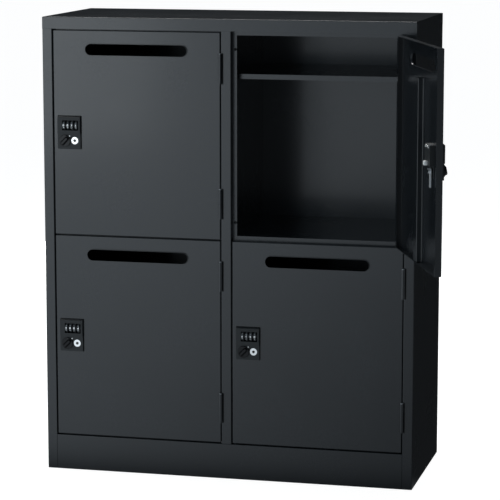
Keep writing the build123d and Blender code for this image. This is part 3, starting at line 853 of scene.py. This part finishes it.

# ---------------------------------------------------------------------------------------
# Painted shadow round the locks: a thin rim of black rubber all round each lock plate, under
# the edge of the plate, stands in for the shadow that the plate casts on the door.
SHADOW_RIM_WIDTH, SHADOW_RIM_RISE = 1.0 * MM, 0.9 * MM
PLATE_MIDDLE, PLATE_SIZE = (28.5 * MM, 39 * MM), (57.2 * MM, 78.2 * MM)
gasket_profile = line_object(
    "gasket_profile",
    [(0, 0), (SHADOW_RIM_WIDTH, 0), (SHADOW_RIM_WIDTH, SHADOW_RIM_RISE * 0.6)]
    + [(SHADOW_RIM_WIDTH * 0.7, SHADOW_RIM_RISE), (0, SHADOW_RIM_RISE)],
)
for door in DOORS:
    mesh = grown(
        profile_along_line,
        line_object("gasket_line", rounded_outline(*PLATE_SIZE, SHADOW_RIM_WIDTH)),
        {"Profile": gasket_profile, "Profile Size": 1.0, "Finish": buffer_rubber},
    )
    mesh.transform(hung(door, LOCK_ALONG + PLATE_MIDDLE[0], LOCK_UP + PLATE_MIDDLE[1]))
    # A black rim as painted shadow, all round the lock plate.
    piece(f"{door}_lock_gasket", mesh, buffer_rubber, f"{door}_door")
bpy.data.objects.remove(gasket_profile)

# ---------------------------------------------------------------------------------------
# Open marks: a dot of silver foil, stamped on the plate beside each knob, shows where the
# knob's grip points when the lock is open.
DOT_PLACE, DOT_RADIUS, DOT_RISE = (29.7 * MM, 30.3 * MM), 1.35 * MM, 0.12 * MM
PLATE_RISE = 5 * MM  # lock plate in front of the door
for door in DOORS:
    mesh = turned(
        [(0, -DOT_RISE), (DOT_RADIUS, -DOT_RISE), (DOT_RADIUS, DOT_RISE * 0.6)]
        + [(DOT_RADIUS * 0.85, DOT_RISE), (0, DOT_RISE)]
    )
    mesh.transform(Matrix.Translation((0, 0, PLATE_RISE)))
    mesh.transform(hung(door, LOCK_ALONG + DOT_PLACE[0], LOCK_UP + DOT_PLACE[1]))
    piece(f"{door}_open_mark", mesh, silver_foil, f"{door}_door")

# ---------------------------------------------------------------------------------------
# Turn knobs: glossy black nylon, moulded round a steel spindle that reaches through the
# lock to the cam. Fingers polish the grip's edges and leave them a little greyer.
knob_nylon = finish_material(
    "knob_nylon",
    (0.004, 0.004, 0.005, 1),
    (0.006, 0.006, 0.007, 1),
    (0.050, 0.050, 0.052, 1),
    peel=(0.9 * MM, 0.24, 0.05),
    wear=(0.5 * MM, 0.6),
    bump=(0.15, 0.03 * MM),
    shader_values={"IOR": 1.53, "Specular IOR Level": 0.22},
)
coat_nodes(knob_nylon, *(f"{d}_turn_knob" for d in DOORS))

# ---------------------------------------------------------------------------------------
# Key cylinders and clamps: die-cast zinc, polished and chromed. Cams, nuts and feet are
# pressed and turned steel with a clear zinc plating, which is greyer and finely brushed.
bright_chrome = finish_material(
    "bright_chrome",
    (0.82, 0.82, 0.81, 1),
    (0.90, 0.90, 0.89, 1),
    (0.94, 0.94, 0.94, 1),
    peel=(0.5 * MM, 0.26, 0.05),
    wear=(0.3 * MM, 0.6),
    bump=(0.08, 0.02 * MM),
    shader_values={"Metallic": 1.0},
)
coat_nodes(bright_chrome, *(f"{d}_{n}" for d in DOORS for n in ("lock_metalwork", "key_plug")))
coat_nodes(zinc_plate, "levelling_feet", *(f"{d}_locking_cam" for d in DOORS))

# ---------------------------------------------------------------------------------------
# Tumblers: stamped brass leaves behind each keyhole, in a pressed collar. The first leaf
# lies across the hole and turns with the plug. Their near-black colour is painted shade.
KEY_PLACE, HOLE_RADIUS = (43 * MM, 20 * MM), 2.46 * MM
HOLE_MOUTH, HOLE_END = 6.55 * MM, 4.12 * MM
COLLAR_RADIUS, COLLAR_RISE = 3.3 * MM, 0.2 * MM
LEAF_WIDTH, LEAF_REACH, LEAF_SINK, LEAF_RISE = 1.1 * MM, 1.95 * MM, 0.15 * MM, 1.7 * MM
CUP_DEPTHS, PIT_RADIUS = (0.4 * MM, 0.3 * MM, 0.1 * MM), 0.7 * MM  # wall, floor and pit
# Near-black brass: painted shade inside and round each keyhole.
brass_painted_shade = finish_material(
    "brass_painted_shade",
    (0.020, 0.017, 0.012, 1),
    (0.034, 0.028, 0.018, 1),
    (0.120, 0.095, 0.050, 1),
    peel=(0.3 * MM, 0.5, 0.1),
    wear=(0.2 * MM, 0.5),
    bump=(0.5, 0.05 * MM),
    shader_values={"IOR": 1.45},
)
for door in DOORS:
    mesh = turned(
        [
            (0, HOLE_END),
            (HOLE_RADIUS, HOLE_END),
            (HOLE_RADIUS, HOLE_MOUTH),
            (COLLAR_RADIUS, HOLE_MOUTH),
            (COLLAR_RADIUS, HOLE_MOUTH + COLLAR_RISE),
            (HOLE_RADIUS * 0.95, HOLE_MOUTH + COLLAR_RISE),
            (HOLE_RADIUS * 0.88, HOLE_END + CUP_DEPTHS[0]),
            (PIT_RADIUS, HOLE_END + CUP_DEPTHS[1]),
            (PIT_RADIUS, HOLE_END + CUP_DEPTHS[2]),
            (0, HOLE_END + CUP_DEPTHS[2]),
        ]
    )
    shape = bmesh.new()
    shape.from_mesh(mesh)
    low = (-LEAF_WIDTH / 2, -LEAF_REACH, HOLE_END + LEAF_SINK)
    shape.from_mesh(box_mesh(low, (LEAF_WIDTH / 2, LEAF_REACH, HOLE_END + LEAF_RISE)))
    shape.to_mesh(mesh)
    shape.free()
    mesh.transform(hung(door, LOCK_ALONG + KEY_PLACE[0], LOCK_UP + KEY_PLACE[1]))
    piece(f"{door}_tumblers", mesh, brass_painted_shade, f"{door}_key_plug")

# ---------------------------------------------------------------------------------------
# Code-change slides: a white nylon button, snapped over the slide on the lock's rear. It
# is pushed down to set a new code when the door is open.
SLIDE_X, SLIDE_Z = (19.7 * MM, 32.3 * MM), (30.7 * MM, 40.3 * MM)
SLIDE_DEPTH, SLIDE_ROUNDING = (-34.4 * MM, -28 * MM), 1.2 * MM
white_nylon = finish_material(
    "white_nylon",
    (0.80, 0.80, 0.78, 1),
    (0.86, 0.86, 0.84, 1),
    (0.60, 0.60, 0.58, 1),
    peel=(0.4 * MM, 0.42, 0.06),
    wear=(0.4 * MM, 0.4),
    bump=(0.3, 0.03 * MM),
    shader_values={"IOR": 1.53},
)
for door in DOORS:
    low, high = zip(SLIDE_X, SLIDE_Z, SLIDE_DEPTH)
    mesh = box_mesh(low, high, SLIDE_ROUNDING)
    mesh.transform(hung(door, LOCK_ALONG, LOCK_UP))
    piece(f"{door}_code_slide_button", mesh, white_nylon, f"{door}_door")

# ---------------------------------------------------------------------------------------
# Studio: a pale floor that runs out of sight and is bright paper in front and at the sides,
# a soft card in front on the left, a strip overhead that lights the folds, and a low
# diffuse light behind for the views from there.
FLOOR_REACH = 60.0
FLOOR_TINT, MATT_GREY, FLOOR_GLOW = (0.83, 0.92, 1.0, 1), (0.35, 0.35, 0.35, 1), 0.95
FRONT_EDGE, FRONT_SHINE = (-0.04, -0.50), (0.05, 0.82)  # along Y
RIGHT_TO_LEFT, LEFT_SHINE = (0.8, -1.4), (0.35, 1.45)  # along X
SIDE_EDGE, SIDE_SHINE = (0.9, 2.0), (0.0, 0.70)  # off the middle
SIDE_MIDDLE, SIDE_FADE = 0.2, (0.9, 0.4)  # in front of the middle, and off that line

AIR_TINT, AIR_HEADING = (0.70, 0.86, 1, 1), (-0.55, -1.0, -0.3)
AIR_EDGE, AIR_GLOW = (0.4, 1.22), (0.005, 0.55)  # towards that heading
SKY_EDGE, SKY_GLOW = (0.55, 0.95), (0.0, 0.22)  # upwards


def studio_floor():
    """A pale, even floor that other surfaces see as paper, bright in front and beside."""
    material = bpy.data.materials.new("pale_floor")
    material.use_nodes = True
    tree = material.node_tree
    tree.nodes.clear()
    seen = node(tree, "ShaderNodeLightPath").outputs["Is Camera Ray"]
    matt = node(tree, "ShaderNodeBsdfDiffuse", {"Color": MATT_GREY})
    glow = node(tree, "ShaderNodeEmission", {"Color": (1, 1, 1, 1), "Strength": FLOOR_GLOW})
    pale = node(tree, "ShaderNodeAddShader", {0: matt.outputs[0], 1: glow.outputs[0]})
    place = node(tree, "ShaderNodeTexCoord").outputs["Object"]
    split = node(tree, "ShaderNodeSeparateXYZ", {0: place}).outputs
    ahead = ramp(tree, split["Y"], FRONT_EDGE, FRONT_SHINE, "SMOOTHSTEP")
    leftwards = ramp(tree, split["X"], RIGHT_TO_LEFT, LEFT_SHINE, "SMOOTHSTEP")
    front = combined(tree, "MULTIPLY", ahead, leftwards)
    distance = combined(tree, "ABSOLUTE", split["X"])
    beside = ramp(tree, distance, SIDE_EDGE, SIDE_SHINE, "SMOOTHSTEP")
    off_line = combined(tree, "ABSOLUTE", combined(tree, "ADD", split["Y"], SIDE_MIDDLE))
    abreast = ramp(tree, off_line, SIDE_FADE, shape="SMOOTHSTEP")
    sides = combined(tree, "MULTIPLY", beside, abreast)
    shine = combined(tree, "MAXIMUM", front, sides)
    paper = node(tree, "ShaderNodeEmission", {"Color": FLOOR_TINT, "Strength": shine})
    shaders = {0: seen, 1: paper.outputs[0], 2: pale.outputs[0]}
    both = node(tree, "ShaderNodeMixShader", shaders)
    node(tree, "ShaderNodeOutputMaterial", {"Surface": both.outputs[0]})
    material.cycles.emission_sampling = "NONE"
    r = FLOOR_REACH
    mesh = bpy.data.meshes.new("floor")
    mesh.from_pydata([(-r, -r, 0), (r, -r, 0), (r, r, 0), (-r, r, 0)], [], [(0, 1, 2, 3)])
    mesh.materials.append(material)
    placed_object("floor", mesh)


def studio_air():
    """Air that other surfaces see as dim, brighter to the front left and overhead."""
    world = bpy.data.worlds.new("studio_air")
    world.use_nodes = True
    tree = world.node_tree
    tree.nodes.clear()
    seen = node(tree, "ShaderNodeLightPath").outputs["Is Camera Ray"]
    heading = node(tree, "ShaderNodeTexCoord").outputs["Generated"]
    vectors = {0: heading, 1: AIR_HEADING}
    to_front = node(tree, "ShaderNodeVectorMath", vectors, operation="DOT_PRODUCT")
    ambient = ramp(tree, to_front.outputs["Value"], AIR_EDGE, AIR_GLOW, "SMOOTHSTEP")
    upwards = node(tree, "ShaderNodeSeparateXYZ", {0: heading}).outputs["Z"]
    overhead = ramp(tree, upwards, SKY_EDGE, SKY_GLOW, "SMOOTHSTEP")
    glow = combined(tree, "ADD", ambient, overhead)
    dim = node(tree, "ShaderNodeBackground", {"Color": AIR_TINT, "Strength": glow})
    white = node(tree, "ShaderNodeBackground", {"Color": (1, 1, 1, 1), "Strength": 1.0})
    shaders = {0: seen, 1: dim.outputs[0], 2: white.outputs[0]}
    both = node(tree, "ShaderNodeMixShader", shaders)
    node(tree, "ShaderNodeOutputWorld", {"Surface": both.outputs[0]})
    bpy.context.scene.world = world


def soft_light(name, place, target, size, power, colour=(1, 1, 1), glossy=True):
    """A rectangular soft light that faces a point."""
    lamp = bpy.data.lights.new(name, "AREA")
    lamp.shape = "RECTANGLE"
    lamp.size, lamp.size_y = size
    lamp.energy = power
    lamp.color = colour
    light = placed_object(name, lamp)
    light.location = place
    away = Vector(target) - Vector(place)
    light.rotation_euler = away.to_track_quat("-Z", "Y").to_euler()
    light.visible_camera = False
    light.visible_glossy = glossy


studio_floor()
studio_air()
soft_light("card_front", (-2.1, -4.2, 1.1), (-0.3, -0.2, 0.9), (1.5, 1.6), 15, (0.9, 0.96, 1))
soft_light("strip_above", (-0.5, 0.6, 3.2), (0.0, -0.19, 1.1), (3.0, 0.7), 90)
soft_light("back_fill", (-1.6, 3.2, 0.45), (0.0, 0.2, 0.5), (1.4, 0.8), 200, glossy=False)
bpy.context.scene.view_settings.view_transform = "Standard"

# ---------------------------------------------------------------------------------------
# Camera: a long lens on a full-frame sensor, from the front, a little to the right and
# above, looking down. Angles are in radians.
CAMERA_PLACE = (1.3145, -5.3581, 1.4173)
CAMERA_YAW, CAMERA_PITCH = 0.2385, 0.1601
SENSOR_WIDTH, FOCAL_LENGTH, CAMERA_REACH = 36.0, 164.5, 200.0

lens = bpy.data.cameras.new("camera")
lens.sensor_width = SENSOR_WIDTH
lens.lens = FOCAL_LENGTH
lens.clip_end = CAMERA_REACH
camera = placed_object("camera", lens)
camera.location = CAMERA_PLACE
camera.rotation_euler = (pi / 2 - CAMERA_PITCH, 0, CAMERA_YAW)
bpy.context.scene.camera = camera
